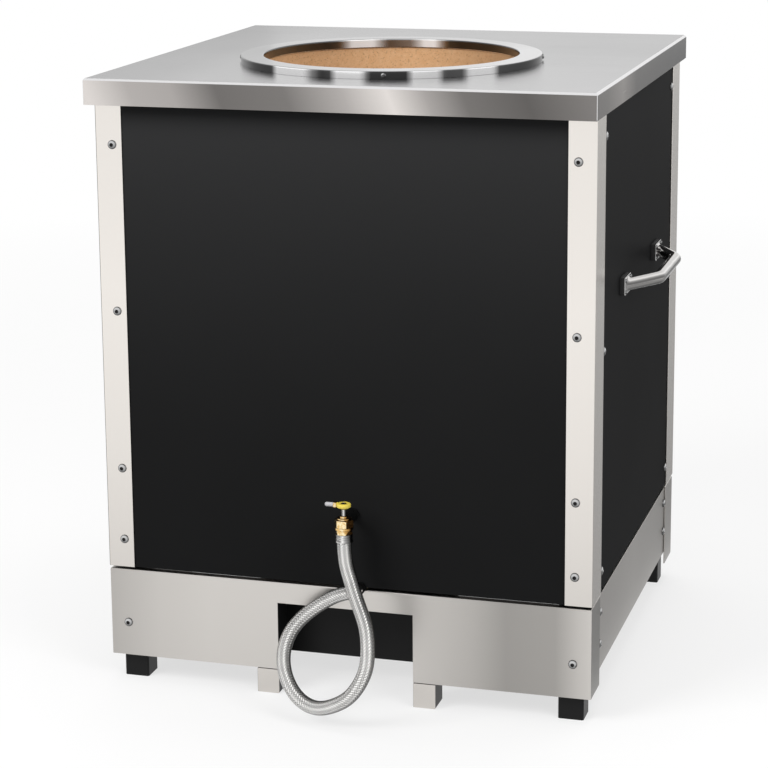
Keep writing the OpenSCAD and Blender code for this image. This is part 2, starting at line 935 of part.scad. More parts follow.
// Pale sleeve over the end of the arm, with a round end
module lever_sleeve() {
    length = lever_l - lever_r - arm_socket_l - 0.2;
    color("lightgray")
        translate([valve_x - lever_l, valve_y, lever_z + lever_h / 2])
            difference() {
                union() {
                    translate([arm_r, 0, 0])
                        sphere(r = arm_r);
                    translate([arm_r, 0, 0])
                        rotate([0, 90, 0])
                            cylinder(r = arm_r, h = length - arm_r);
                }
                translate([arm_r - 0.1, 0, 0])
                    rotate([0, 90, 0])
                        cylinder(r = arm_r - 0.75, h = length + 1);
            }
}

module lever_screw() {
    translate([valve_x, valve_y, lever_z + lever_h - recess_h])
        screw_head(lever_screw_d, lever_screw_h, small_socket_w);
}

// ---- hose and its fittings ----

// Union nut that holds the hose under the valve, coned in towards the top
module hose_nut() {
    outline = [[0, 0], [12, 0], [13, 1], [10.5, hose_nut_h], [0, hose_nut_h]];
    color("goldenrod")
        translate([valve_x, valve_y, flange_z - hose_nut_h])
            hex_turned(hose_nut_w, hose_nut_h, outline);
}

// Crimped ferrule with a flared lip round the hose
module hose_ferrule() {
    color("silver")
        translate(hose_start) {
            cylinder(d = ferrule_d - 0.8, h = ferrule_l);
            cylinder(d = ferrule_d, h = 2);
        }
}

module hose() {
    color("lightgray")
        swept_tube(hose_route, hose_d / 2, 12, [0, 0, -1], hose_end_dir);
}

// Ferrule at the hose's lower end
module elbow_ferrule() {
    color("silver")
        translate(hose_end)
            multmatrix(along(hose_end_dir)) {
                cylinder(d = ferrule_d - 1.8, h = elbow_arm);
                cylinder(d = ferrule_d - 1.2, h = 2);
            }
}

// Elbow from the hose into the body, turned about its own stub to face the hose
module inlet_elbow() {
    color("silver")
        translate(elbow_at)
            rotate([0, -hose_rise, 0])
                bent_pipe([[-elbow_l, 0, 0], [0, 0, 0], [0, elbow_end - elbow_at[1], 0]],
                    elbow_r, elbow_bend);
}

// Thin nut that clamps the elbow at the seam of panel and skirt
module elbow_nut() {
    color("silver")
        translate([elbow_at[0], -skirt_face, elbow_at[2]])
            rotate([90, 0, 0])
                difference() {
                    hex_nut(elbow_nut_w, elbow_nut_t);
                    translate([0, 0, -1])
                        cylinder(r = elbow_r + 0.1, h = elbow_nut_t + 2);
                }
}

// ---- burner and gas pipes ----

// Cast bowl on the burner's axis, with its mixing tube towards the front
module burner_head() {
    tube_start = -half_d + shield_inset + 12;
    color("#3a3a3a")
        difference() {
            union() {
                translate([0, burner_y, burner_z])
                    cylinder(r1 = burner_r - 14, r2 = burner_r, h = burner_h);
                translate([elbow_at[0], tube_start, elbow_at[2]])
                    rotate([-90, 0, 0])
                        cylinder(r = mixer_r, h = burner_y - 20 - tube_start);
                translate([elbow_at[0], tube_start, elbow_at[2]])
                    rotate([-90, 0, 0])
                        cylinder(r1 = mixer_r + 4, r2 = mixer_r, h = 24);
            }
            translate([0, burner_y, burner_z + 5])
                cylinder(r1 = burner_r - 20, r2 = burner_r - 6, h = burner_h);
            translate([elbow_at[0], tube_start - 1, elbow_at[2]])
                rotate([-90, 0, 0])
                    cylinder(r = mixer_r - mixer_wall, h = burner_y - 15 - tube_start);
        }
}

// Domed cap with a ring of radial ports round its foot
module burner_cap() {
    ports = 24;
    cap_r = burner_r - 3;
    color("#2c2c2c")
        translate([0, burner_y, burner_z + burner_h + 0.1])
            difference() {
                union() {
                    cylinder(r = cap_r, h = 7);
                    translate([0, 0, 7])
                        cylinder(r1 = cap_r, r2 = cap_r - 20, h = 6);
                }
                translate([0, 0, -1])
                    cylinder(r = cap_r - 6, h = 5);
                for (k = [0 : ports - 1])
                    rotate([0, 0, 360 * k / ports])
                        translate([cap_r - 9, -1.5, -1])
                            cube([12, 3, 4]);
            }
}

// Strap that hangs the burner from the base plate
module burner_hanger() {
    strap_w = 30;
    strap_t = 4;
    inner = burner_r + 6;
    color("dimgray")
        translate([0, burner_y + 10, 0])
            difference() {
                translate([-inner - strap_t - 20, 0, burner_z - strap_t])
                    cube([2 * (inner + strap_t + 20), strap_w, base_z - burner_z + strap_t]);
                translate([-inner, -1, burner_z])
                    cube([2 * inner, strap_w + 2, base_z]);
                for (side = [-1, 1])
                    translate([side * (inner + strap_t + 15) - 15, -1, burner_z - strap_t - 1])
                        cube([30, strap_w + 2, base_z - burner_z]);
            }
}

// Straight pipe with the jet, from the elbow into the mixing tube
module burner_pipe() {
    run = -half_d + shield_inset + 8 - elbow_end;
    color("goldenrod")
        translate([elbow_at[0], elbow_end, elbow_at[2]])
            rotate([-90, 0, 0]) {
                cylinder(r = stub_r, h = run);
                translate([0, 0, run])
                    cylinder(r1 = stub_r - 1, r2 = 3, h = 14);
            }
}

// Supply pipe from the rear inlet, round under the base plate and up to the valve
module supply_pipe() {
    color("dimgray")
        bent_pipe([
            [supply_x, supply_end, supply_z],
            [supply_x, supply_y, supply_z],
            [valve_x, supply_y, supply_z],
            [valve_x, supply_y, valve_z],
            [valve_x, shank_end, valve_z]
        ], pipe_d / 2, supply_bend);
}

// Rear inlet: a hexagon against the back panel and the cylinder of a male thread
module gas_inlet() {
    nut_start = half_d - trim_t - supply_end;
    thread_start = half_d + reach - inlet_l - supply_end;
    color("goldenrod")
        translate([supply_x, supply_end, supply_z])
            rotate([-90, 0, 0]) {
                cylinder(d = pipe_d, h = nut_start);
                translate([0, 0, nut_start])
                    hex_nut(inlet_nut_w, inlet_nut_h);
                cylinder(d = pipe_d - 2, h = thread_start);
                translate([0, 0, thread_start])
                    cylinder(d = inlet_d, h = inlet_l);
            }
}

// Coned cap on three feet over the flame hole, inside the pot
module flame_spreader() {
    lift = 22;
    cap_r = flame_hole_d / 2 + 10;
    color("#3a3a3a")
        translate([0, mouth_y, tile_top]) {
            translate([0, 0, lift])
                difference() {
                    cylinder(r1 = cap_r, r2 = 20, h = 22);
                    translate([0, 0, -3])
                        cylinder(r1 = cap_r, r2 = 20, h = 22);
                }
            for (a = [90, 210, 330])
                rotate([0, 0, a])
                    translate([cap_r - 5, 0, 0])
                        cylinder(r = 4, h = lift + 1.5);
        }
}

top_plate();
mouth_ring();
ring_screws();
clay_pot();
pot_tile();
insulation();
base_plate();
rail_front();
mirror([0, 1, 0]) rail_front();  // rail_back
mirror([1, 0, 0]) rail_right();  // rail_left
rail_right();
rotate([0, 0, 180]) post();  // post_front_left
mirror([0, 1, 0]) post();  // post_front_right
mirror([1, 0, 0]) post();  // post_back_left
post();  // post_back_right
rotate([0, 0, 180]) corner_trim();  // trim_front_left
mirror([0, 1, 0]) corner_trim();  // trim_front_right
mirror([1, 0, 0]) corner_trim();  // trim_back_left
corner_trim();  // trim_back_right
trim_screws();
panel_front();
panel_back();
mirror([1, 0, 0]) panel_right();  // panel_left
panel_right();
panel_screws();
skirt_front();
skirt_back();
mirror([1, 0, 0]) skirt_right();  // skirt_left
skirt_right();
skirt_screws();
mirror([1, 0, 0]) leg_right();  // leg_left
leg_right();
mirror([1, 0, 0]) leg_face_right();  // leg_face_left
leg_face_right();
burner_shield();
mirror([1, 0, 0]) handle_bar_right();  // handle_bar_left
handle_bar_right();
handle_plates();
handle_pads();
handle_screws();
valve_body();
valve_nipple();
valve_bonnet();
valve_stem();
valve_lever();
lever_sleeve();
lever_screw();
hose_nut();
hose_ferrule();
hose();
elbow_ferrule();
inlet_elbow();
elbow_nut();
burner_head();
burner_cap();
burner_hanger();
burner_pipe();
supply_pipe();
gas_inlet();
flame_spreader();
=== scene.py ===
import json
from math import atan, cos, pi, radians, sin, sqrt, tan

import bmesh
import bpy
from mathutils import Matrix, Vector


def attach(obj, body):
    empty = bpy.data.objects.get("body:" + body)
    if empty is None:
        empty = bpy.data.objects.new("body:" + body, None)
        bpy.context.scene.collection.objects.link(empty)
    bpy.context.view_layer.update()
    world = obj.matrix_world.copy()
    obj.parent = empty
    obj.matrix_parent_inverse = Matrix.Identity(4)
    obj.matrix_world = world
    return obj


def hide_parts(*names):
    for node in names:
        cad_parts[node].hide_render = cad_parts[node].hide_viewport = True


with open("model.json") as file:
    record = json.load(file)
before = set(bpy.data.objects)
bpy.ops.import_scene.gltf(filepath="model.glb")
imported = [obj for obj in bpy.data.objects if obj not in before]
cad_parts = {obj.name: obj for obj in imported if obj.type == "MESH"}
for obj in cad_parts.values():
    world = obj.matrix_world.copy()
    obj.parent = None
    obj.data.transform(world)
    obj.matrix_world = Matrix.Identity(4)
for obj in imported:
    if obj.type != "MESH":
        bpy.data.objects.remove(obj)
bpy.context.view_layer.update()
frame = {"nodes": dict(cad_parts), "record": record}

MM = 0.001
BODY, LEVER = "housing", "lever"
SIDES = (-1, 1)

# Measures of the part, in millimetres.
HALF_DEPTH = 342                         # of the body, over its corner trims
PLATE_TOP, APRON_LOW = 907, 870.5        # top of the top plate, and just above its apron's lower edge
RING_Y, RING_BORE, RING_R = -72, 190, 224    # the mouth ring's centre, inner and outer radius
VALVE_X, VALVE_Y = 14, -384              # the lever's axis
HANDLE_FACE, HANDLE_FOOT, HANDLE_Z = 370.8, 130, 598    # the handles' plates: outer face, middle, height


# ---- camera ----

def make_camera():
    """A camera at the photograph's angle, with the principal point above the image's middle."""
    place, lens, shift = (0.982, -3.497, 1.329), 112.5, -0.125
    yaw, pitch, roll = -0.2832, 0.2124, -0.008
    forward = Vector((sin(yaw) * cos(pitch), cos(yaw) * cos(pitch), -sin(pitch)))
    right = Vector((cos(yaw), -sin(yaw), 0))
    up = right.cross(forward)
    right, up = cos(roll) * right + sin(roll) * up, cos(roll) * up - sin(roll) * right
    data = bpy.data.cameras.new("camera")
    data.sensor_width = 36
    data.lens = lens
    data.shift_y = shift
    data.clip_start, data.clip_end = 0.1, 60
    camera = bpy.data.objects.new("camera", data)
    turn = Matrix((right, up, -forward)).transposed().to_4x4()
    camera.matrix_world = Matrix.Translation(place) @ turn
    bpy.context.scene.collection.objects.link(camera)
    bpy.context.scene.camera = camera


make_camera()


# ---- node materials ----

class Shader:
    """A material's node tree, with short calls for the nodes that the finishes share."""

    def __init__(self, name, **uniform):
        self.material = bpy.data.materials.new(name)
        self.material.use_nodes = True
        self.tree = self.material.node_tree
        self.surface = self.tree.nodes["Principled BSDF"]
        for socket, value in uniform.items():
            self.surface.inputs[socket.replace("_", " ")].default_value = value

    def add(self, kind, sockets=None, **settings):
        node = self.tree.nodes.new("ShaderNode" + kind)
        for key, value in settings.items():
            setattr(node, key, value)
        for key, value in (sockets or {}).items():
            self.put(node.inputs[key], value)
        return node

    def put(self, socket, value):
        if isinstance(value, bpy.types.NodeSocket):
            self.tree.links.new(value, socket)
        else:
            socket.default_value = value

    def set(self, name, value):
        self.put(self.surface.inputs[name], value)

    def math(self, operation, a, b=0.0, c=0.0):
        node = self.add("Math", operation=operation)
        for socket, value in zip(node.inputs, (a, b, c)):
            self.put(socket, value)
        return node.outputs[0]

    def plus(self, a, b):
        return self.math("ADD", a, b)

    def times(self, a, b):
        return self.math("MULTIPLY", a, b)

    def scaled(self, value, gain, offset):
        """value * gain + offset."""
        return self.math("MULTIPLY_ADD", value, gain, offset)

    def size(self, value):
        return self.math("ABSOLUTE", value)

    def above(self, value, limit):
        return self.math("GREATER_THAN", value, limit)

    def rest(self, share):
        """What a share leaves of 1."""
        return self.math("SUBTRACT", 1.0, share)

    def point(self):
        """The shaded point, in metres."""
        return self.add("TexCoord").outputs["Object"]

    def place(self):
        """x, y and z of the shaded point."""
        return self.add("SeparateXYZ", {0: self.point()}).outputs

    def span(self, value):
        """0 to 1 for a place from -0.4 to 0.4 metres."""
        return self.scaled(value, 1.25, 0.5)

    def facing(self, kind="Normal"):
        """x, y and z of the surface's normal."""
        return self.add("SeparateXYZ", {0: self.add("NewGeometry").outputs[kind]}).outputs

    def seen(self):
        """1 for rays from the camera, a reflection or a transmission, and 0 for light that falls on things."""
        path = self.add("LightPath").outputs
        direct = self.math("MAXIMUM", path["Is Camera Ray"], path["Is Glossy Ray"])
        return self.math("MAXIMUM", direct, path["Is Transmission Ray"])

    def tinted(self, a, b):
        """One colour times another, or times a shade."""
        b = (*b, 1) if isinstance(b, tuple) else b
        return self.add("Mix", {0: 1.0, 6: a, 7: b}, data_type="RGBA", blend_type="MULTIPLY").outputs[2]

    def edge(self):
        """1 on the rounded edges, where the face looks along none of the three axes."""
        along_an_axis = 0.975
        x, y, z = (self.size(part) for part in self.facing("True Normal"))
        return self.math("LESS_THAN", self.math("MAXIMUM", self.math("MAXIMUM", x, y), z), along_an_axis)

    def vector(self, x=0.0, y=0.0, z=0.0):
        return self.add("CombineXYZ", {0: x, 1: y, 2: z}).outputs[0]

    def noise(self, vector, scale=1.0, detail=2.0, rough=0.5, warp=0.0):
        node = self.add("TexNoise", {"Scale": scale, "Detail": detail, "Roughness": rough, "Distortion": warp})
        if vector is not None:
            self.put(node.inputs["Vector"], vector)
        return node.outputs[0]

    def ramp(self, value, *stops):
        node = self.add("ValToRGB", {0: value})
        elements = node.color_ramp.elements
        while len(elements) < len(stops):
            elements.new(0.5)
        for element, (at, colour) in zip(elements, stops):
            element.position = at
            element.color = (*colour, 1) if isinstance(colour, tuple) else (colour, colour, colour, 1)
        return node.outputs[0]

    def mix(self, share, a, b):
        node = self.add("Mix", data_type="RGBA")
        self.put(node.inputs[0], share)
        for socket, value in ((node.inputs[6], a), (node.inputs[7], b)):
            self.put(socket, (*value, 1) if isinstance(value, tuple) else value)
        return node.outputs[2]

    def bump(self, height, distance, strength=1.0, below=None):
        node = self.add("Bump", {"Height": height, "Distance": distance, "Strength": strength})
        if below is not None:
            self.put(node.inputs["Normal"], below)
        return node.outputs[0]


# Painted reflections and painted shade on the steel sheets, as (place from 0 to 1, shade) pairs, so that they stay
# with the object.
APRON_BANDS = ((0.04, 0.95), (0.12, 0.60), (0.20, 0.54), (0.285, 0.225), (0.41, 0.27), (0.515, 0.58), (0.597, 1.0),
               (0.665, 0.52), (0.73, 0.25), (0.84, 0.17), (0.95, 0.29))
APRON_FLANK = ((0.0, 0.28), (0.125, 0.35), (0.27, 0.64), (0.40, 0.19), (0.66, 0.10), (0.9, 0.03))
APRON_REFLECTION_TINT, FLANK_REFLECTION_TINT = (1.34, 1.28, 1.22), (1.0, 0.94, 0.88)
PLATE_BACKWARDS = ((0.04, 0.82), (0.37, 0.76), (0.69, 0.64), (0.96, 0.60))
PLATE_ACROSS = ((0.04, 0.74), (0.14, 0.80), (0.24, 0.98), (0.36, 1.0), (0.96, 0.92))
SKIRT_ACROSS = ((0.045, 0.74), (0.14, 0.92), (0.24, 1.0), (0.36, 1.0), (0.60, 1.0), (0.74, 0.72), (0.80, 0.54),
                (0.89, 0.58), (0.93, 0.84), (0.96, 0.98))
SKIRT_FLANK = ((0.08, 0.50), (0.149, 0.46), (0.153, 0.78), (0.50, 0.86), (0.90, 0.68))
TRIM_UPWARDS = ((0.18, 0.76), (0.35, 0.88), (0.60, 1.0), (0.86, 0.98))
# Painted highlight on the top plate's rounded upper edges, and painted shade on the sheets' rounded edges that
# face left.
EDGE_HIGHLIGHT, EDGE_SHADE = (1.35, 1.35, 1.35), (0.22, 0.22, 0.22)
SQUARE_ON = 0.6                          # a face whose normal has more than this along an axis looks along it


def grain(s, direction):
    """Coordinates along and across the brushing: level, upright, or across the top plate."""
    x, y, z = s.place()
    if direction == "level":
        return s.plus(x, y), z
    if direction == "upright":
        return z, s.plus(x, y)
    side = s.above(s.size(s.facing()[0]), 0.5)
    rest = s.rest(side)
    along = s.plus(s.times(side, y), s.times(rest, x))
    return along, s.plus(s.times(rest, y), z)


def fold_shade(s):
    """Painted reflections on the top plate: a soft painted sweep on top, painted light and dark bands along its
    upright folds, and painted highlights on its upper rounded edges.
    """
    x, y, z = s.place()
    normal = s.facing()
    front = s.above(s.size(normal[1]), SQUARE_ON)
    side = s.above(s.size(normal[0]), SQUARE_ON)
    across, back = s.span(x), s.span(y)
    leaning = s.plus(across, s.scaled(z, 0.5, -0.45))
    # Painted reflections: slanting light and dark bands on the front and back folds, bands from front to back on
    # the side folds, and a soft sweep over the top.
    bands = s.tinted(s.ramp(leaning, *APRON_BANDS), APRON_REFLECTION_TINT)
    flank = s.tinted(s.ramp(back, *APRON_FLANK), FLANK_REFLECTION_TINT)
    sweep = s.times(s.ramp(back, *PLATE_BACKWARDS), s.ramp(across, *PLATE_ACROSS))
    tone = s.mix(side, s.mix(front, sweep, bands), flank)
    # Painted highlight on the rounded edges above the apron's lower edge.
    upper = s.times(s.edge(), s.above(z, APRON_LOW * MM))
    return s.mix(upper, tone, EDGE_HIGHLIGHT)


def sheet_shade(s, direction):
    """Painted reflections on the upright sheets: broad light and dark areas along the skirts and up the corner
    trims, with painted shade on rounded edges that face left.
    """
    x, y, z = s.place()
    if direction == "upright":
        # Painted light: the trims are painted lighter upwards, the skirts painted light and dark across their
        # fronts and backs and along their sides.
        tone = s.ramp(z, *TRIM_UPWARDS)
    else:
        side = s.above(s.size(s.facing()[0]), SQUARE_ON)
        tone = s.mix(side, s.ramp(s.span(x), *SKIRT_ACROSS), s.ramp(s.span(y), *SKIRT_FLANK))
    # Painted shade on rounded edges that face left.
    left = s.times(s.edge(), s.math("LESS_THAN", s.facing("True Normal")[0], -0.2))
    return s.mix(left, tone, EDGE_SHADE)


def brushed(name, tint, rough, direction, spread, wave):
    """Brushed stainless sheet: fine lines, broad streaks and a slight waviness of the sheet, times the painted
    reflections and painted shade of fold_shade or sheet_shade.
    """
    on_plate = direction == "plate"
    s = Shader(name, Metallic=1.0)
    along, across = grain(s, direction)
    fine = s.noise(s.vector(s.times(along, 9.0), s.times(across, 1500.0)), detail=3)
    streak = s.noise(s.vector(s.times(along, 1.6), s.times(across, 150.0), 3.0), detail=3)
    cloud = s.noise(s.point(), 2.6, 3)
    lines = s.plus(s.times(fine, 0.6), s.times(streak, 0.4))
    depth = 0.30 if on_plate else 0.18
    share = s.plus(s.scaled(lines, depth, 0.94 - depth / 2), s.times(cloud, 0.12))
    colour = s.mix(s.math("MINIMUM", share, 1.0), tuple(c * 0.86 for c in tint), tint)
    s.set("Base Color", s.tinted(colour, fold_shade(s) if on_plate else sheet_shade(s, direction)))
    s.set("Roughness", s.plus(s.scaled(lines, spread, rough - spread / 2), s.scaled(cloud, 0.08, -0.04)))
    sheet = s.bump(s.noise(s.point(), 3.2, 1), 0.0016 * wave)
    s.set("Normal", s.bump(lines, 0.00002, 0.6, sheet))
    return s.material


def polished_steel():
    """Bright turned or drawn steel with faint handling marks."""
    tint, rough, mark = (0.78, 0.77, 0.76), 0.10, 0.05
    s = Shader("polished_steel", Metallic=1.0)
    place = s.point()
    cloud = s.noise(place, 22.0, 4)
    scratch = s.noise(place, 700.0, 2)
    s.set("Base Color", s.mix(cloud, tuple(c * 0.93 for c in tint), tint))
    s.set("Roughness", s.plus(s.scaled(cloud, mark, rough - mark / 2), s.scaled(scratch, 0.04, -0.02)))
    s.set("Normal", s.bump(scratch, 0.00001, 0.4))
    return s.material


# Painted reflections round the mouth ring, from the left (0) by the front (0.25), the right and the back to the
# left again.
WALL_BLOCKS = ((0.0, 0.30), (0.06, 0.22), (0.12, 0.05), (0.156, 0.06), (0.164, 0.95), (0.201, 0.95), (0.210, 0.30),
               (0.220, 0.05), (0.231, 0.08), (0.238, 0.92), (0.263, 0.95), (0.271, 0.05), (0.310, 0.05),
               (0.316, 0.92), (0.341, 0.85), (0.348, 0.10), (0.369, 0.12), (0.376, 0.95), (0.405, 0.95),
               (0.414, 0.10), (0.47, 0.05), (0.55, 0.10), (0.57, 0.60), (0.62, 0.60), (0.64, 0.10), (0.70, 0.10),
               (0.72, 0.70), (0.77, 0.70), (0.79, 0.10), (0.86, 0.10), (0.88, 0.60), (1.0, 0.30))
BORE_BLOCKS = ((0.0, 0.12), (0.5, 0.10), (0.70, 0.07), (0.716, 0.12), (0.738, 0.98), (0.750, 0.95), (0.770, 0.42),
               (0.798, 0.32), (0.820, 1.0), (0.846, 0.98), (0.866, 0.20), (0.88, 0.10), (1.0, 0.12))
INSIDE_RING = 0.19365                    # a point nearer to the ring's axis than this is on its inner wall
RING_TOP = ((0.0, 0.40), (0.25, 0.72), (0.45, 1.0), (0.56, 1.0), (0.68, 0.60), (0.86, 0.50), (1.0, 0.40))


def turned_ring():
    """Polished turned ring: a clean flat top with painted light, lightest towards the right and darkest at the
    left, and walls with alternate painted dark and bright reflection blocks.
    """
    s = Shader("turned_ring", Metallic=1.0)
    x, y, _ = s.place()
    back = s.plus(y, -RING_Y * MM)
    angle = s.math("ARCTAN2", back, x)
    reach = s.plus(s.times(x, x), s.times(back, back))
    flat = s.above(s.size(s.facing()[2]), 0.7)
    inner = s.math("LESS_THAN", reach, INSIDE_RING ** 2)
    turn = s.scaled(angle, 1 / (2 * pi), 0.5)
    bore = s.ramp(turn, *BORE_BLOCKS)
    fine = s.noise(s.vector(s.times(angle, 2.0), s.times(s.math("SQRT", reach), 900.0)), detail=2)
    # Painted light on the flat top, by the way round the ring.
    top = s.tinted(s.mix(fine, (0.48, 0.475, 0.48), (0.62, 0.615, 0.62)), s.ramp(turn, *RING_TOP))
    s.set("Base Color", s.mix(flat, s.mix(inner, s.ramp(turn, *WALL_BLOCKS), bore), top))
    # Painted reflection: the bright blocks in the bore are made less metallic, so that they stay bright.
    shine = s.times(s.rest(flat), s.times(inner, s.ramp(bore, (0.3, 0.0), (0.9, 1.0))))
    s.set("Metallic", s.scaled(shine, -0.8, 1.0))
    s.set("Roughness", s.scaled(fine, 0.06, 0.10))
    s.set("Normal", s.bump(fine, 0.00001, 0.4))
    return s.material


def coated(name, colour, rough, peel=0.5, level=0.5, top_light=0.0):
    """Powder coat: an even colour with a fine orange peel, and with top_light a painted light that makes it paler
    upwards.
    """
    s = Shader(name, Specular_IOR_Level=level)
    place = s.point()
    cloud = s.noise(place, 3.0, 3)
    grit = s.noise(place, 900.0, 2)
    base = s.mix(cloud, tuple(c * 0.82 for c in colour), tuple(c * 1.15 for c in colour))
    # Painted light: the coat is painted paler towards the top, most on faces that look to the front or back.
    if top_light:
        height = s.math("POWER", s.math("MINIMUM", s.times(s.place()[2], 1.12), 1.0), 3.0)
        share = s.times(height, s.scaled(s.size(s.facing()[1]), 0.75, 0.25))
        base = s.mix(share, base, tuple(c * (1 + top_light) for c in colour))
    s.set("Base Color", base)
    s.set("Roughness", s.plus(s.scaled(cloud, 0.10, rough - 0.05), s.scaled(grit, 0.08, -0.04)))
    s.set("Normal", s.bump(grit, 0.00006, peel))
    return s.material


def clay():
    """Coarse fired clay with speckles, faint throwing rings and a darker, sooty lower part, with painted light and
    shade across it.
    """
    s = Shader("pot_clay", Specular_IOR_Level=0.2)
    x, _, z = s.place()
    place = s.point()
    cloud = s.noise(place, 9.0, 5, 0.6)
    grit = s.noise(place, 160.0, 4, 0.7)
    speck = s.noise(place, 420.0, 2)
    rings = s.noise(s.vector(0.0, 0.0, z), 60.0, 3)
    base = s.mix(cloud, (0.58, 0.335, 0.165), (0.80, 0.50, 0.27))
    base = s.mix(s.times(s.ramp(grit, (0.35, 0.0), (0.75, 1.0)), 0.35), base, (0.88, 0.64, 0.41))
    spots = s.ramp(speck, (0.58, 0.0), (0.70, 1.0))
    base = s.mix(s.times(spots, 0.45), base, (0.20, 0.11, 0.05))
    soot = s.math("SMOOTH_MIN", s.scaled(z, -1.4, 1.0), 1.0, 0.1)
    base = s.mix(s.times(s.math("MAXIMUM", soot, 0.0), 0.5), base, (0.13, 0.08, 0.05))
    # Painted light and shade: the clay is painted a little lighter to the left and darker to the right.
    shade = s.ramp(s.scaled(x, 2.5, 0.5), (0.05, 1.12), (0.5, 1.05), (0.75, 0.82), (0.95, 0.62))
    s.set("Base Color", s.tinted(base, shade))
    s.set("Roughness", s.scaled(grit, 0.15, 0.80))
    low = s.bump(s.plus(cloud, s.times(rings, 0.6)), 0.002, 0.5)
    s.set("Normal", s.bump(s.plus(grit, spots), 0.0005, 0.6, low))
    return s.material


# Painted reflections and painted shade on the fittings, screws, bars and braid, by the way a face looks (0 to 1).
TONE_STEPS = (0.05, 0.40, 0.68, 0.86, 0.96)
BRASS_TONES = ((0.10, 0.045, 0.012), (0.38, 0.20, 0.055), (0.72, 0.44, 0.15), (1.0, 0.86, 0.56),
               (0.80, 0.52, 0.20))
GREY_TONES = ((0.05, 0.049, 0.047), (0.15, 0.148, 0.145), (0.40, 0.395, 0.39), (0.90, 0.89, 0.87),
              (0.26, 0.255, 0.25))
DOME_TONES = ((0.0, 0.05), (0.68, 0.06), (0.75, 0.20), (0.83, 0.50), (0.90, 0.68), (0.955, 0.48), (0.985, 0.06),
              (1.0, 0.03))
BAR_LINES = ((0.02, 0.06), (0.14, 0.13), (0.26, 0.32), (0.38, 0.60), (0.47, 0.48), (0.54, 0.18), (0.64, 0.13),
             (0.75, 0.30), (0.85, 0.85), (0.94, 0.60))
STRAND_LIGHT = ((0.10, 0.16), (0.45, 0.42), (0.74, 1.0), (0.88, 1.0), (0.96, 0.90), (1.0, 1.0))
WIRES = 5                                # in a strand of the braid


def turned(name, tones, drift):
    """A turned fitting with a painted reflection of the room: a pale streak on its front left and dark flanks."""
    s = Shader(name, Metallic=1.0)
    place = s.point()
    cloud = s.noise(place, 260.0, 4)
    fine = s.noise(place, 1500.0, 2)
    x, y, z = s.facing()
    # Painted reflection: paler where a face looks to the front or back, to the left and up.
    front = s.plus(s.times(s.size(y), 0.90), s.plus(s.times(x, -0.42), s.times(z, 0.10)))
    level = s.plus(front, s.scaled(cloud, drift, -drift / 2))
    s.set("Base Color", s.ramp(level, *zip(TONE_STEPS, tones)))
    s.set("Roughness", s.plus(s.scaled(cloud, 0.16, 0.16), s.scaled(fine, 0.08, -0.04)))
    s.set("Normal", s.bump(fine, 0.00002, 0.4))
    return s.material


def button_steel():
    """Screw heads with painted light: a painted dark rim and socket round a painted bright dome, painted paler
    towards the top.
    """
    s = Shader("button_steel", Metallic=1.0)
    place = s.point()
    scratch = s.noise(place, 700.0, 2)
    x, y, z = s.facing()
    level = s.math("MAXIMUM", s.size(x), s.size(y))
    # Painted light and shade: paler where a face looks up, darker where it looks down.
    upwards = s.ramp(s.scaled(z, 0.5, 0.5), (0.25, 0.30), (0.5, 0.62), (0.75, 1.0))
    s.set("Base Color", s.tinted(s.ramp(level, *DOME_TONES), upwards))
    s.set("Roughness", s.scaled(scratch, 0.08, 0.12))
    s.set("Normal", s.bump(scratch, 0.00001, 0.4))
    return s.material


def drawn_bar():
    """Polished round bar: painted light and dark reflection lines run along it, by the height that its side faces.
    """
    s = Shader("drawn_bar", Metallic=1.0)
    place = s.point()
    cloud = s.noise(place, 30.0, 3)
    up = s.plus(s.scaled(s.facing()[2], 0.5, 0.5), s.scaled(cloud, 0.10, -0.05))
    s.set("Base Color", s.tinted(s.ramp(up, *BAR_LINES), (0.95, 0.93, 0.91)))
    s.set("Roughness", s.scaled(cloud, 0.08, 0.10))
    s.set("Normal", s.bump(s.noise(place, 900.0, 2), 0.00001, 0.4))
    return s.material


def moulded(name, colour, rough):
    """Dipped or moulded plastic with a faint mottle."""
    s = Shader(name)
    place = s.point()
    cloud = s.noise(place, 180.0, 3)
    fine = s.noise(place, 2500.0, 2)
    s.set("Base Color", s.mix(cloud, tuple(c * 0.86 for c in colour), colour))
    s.set("Roughness", s.plus(s.scaled(cloud, 0.14, rough - 0.07), s.scaled(fine, 0.06, -0.03)))
    s.set("Normal", s.bump(fine, 0.00003, 0.5))
    return s.material


def cast_iron():
    """Rough, pitted iron of the burner."""
    s = Shader("cast_iron_rough", Metallic=0.6)
    place = s.point()
    cloud = s.noise(place, 60.0, 4)
    pits = s.noise(place, 900.0, 4, 0.7)
    s.set("Base Color", s.mix(cloud, (0.030, 0.028, 0.027), (0.075, 0.068, 0.062)))
    s.set("Roughness", s.scaled(pits, 0.25, 0.50))
    s.set("Normal", s.bump(pits, 0.0004, 0.8))
    return s.material


def rolled_steel():
    """Dark hot-rolled steel with a cloudy skin."""
    s = Shader("rolled_steel", Metallic=0.8)
    place = s.point()
    cloud = s.noise(place, 14.0, 5, 0.6)
    fine = s.noise(place, 600.0, 3)
    s.set("Base Color", s.mix(cloud, (0.055, 0.052, 0.050), (0.14, 0.13, 0.125)))
    s.set("Roughness", s.plus(s.scaled(cloud, 0.2, 0.40), s.scaled(fine, 0.1, -0.05)))
    s.set("Normal", s.bump(fine, 0.0001, 0.5))
    return s.material


def fibre():
    """Tufted ceramic fibre between the pot and the housing."""
    s = Shader("fibre_wool", Specular_IOR_Level=0.1)
    place = s.point()
    tufts = s.noise(place, 45.0, 6, 0.7, 0.6)
    fine = s.noise(place, 500.0, 3)
    s.set("Base Color", s.mix(tufts, (0.62, 0.60, 0.55), (0.86, 0.85, 0.80)))
    s.set("Roughness", s.scaled(fine, 0.1, 0.88))
    s.set("Normal", s.bump(s.plus(tufts, s.times(fine, 0.3)), 0.004, 0.8))
    return s.material


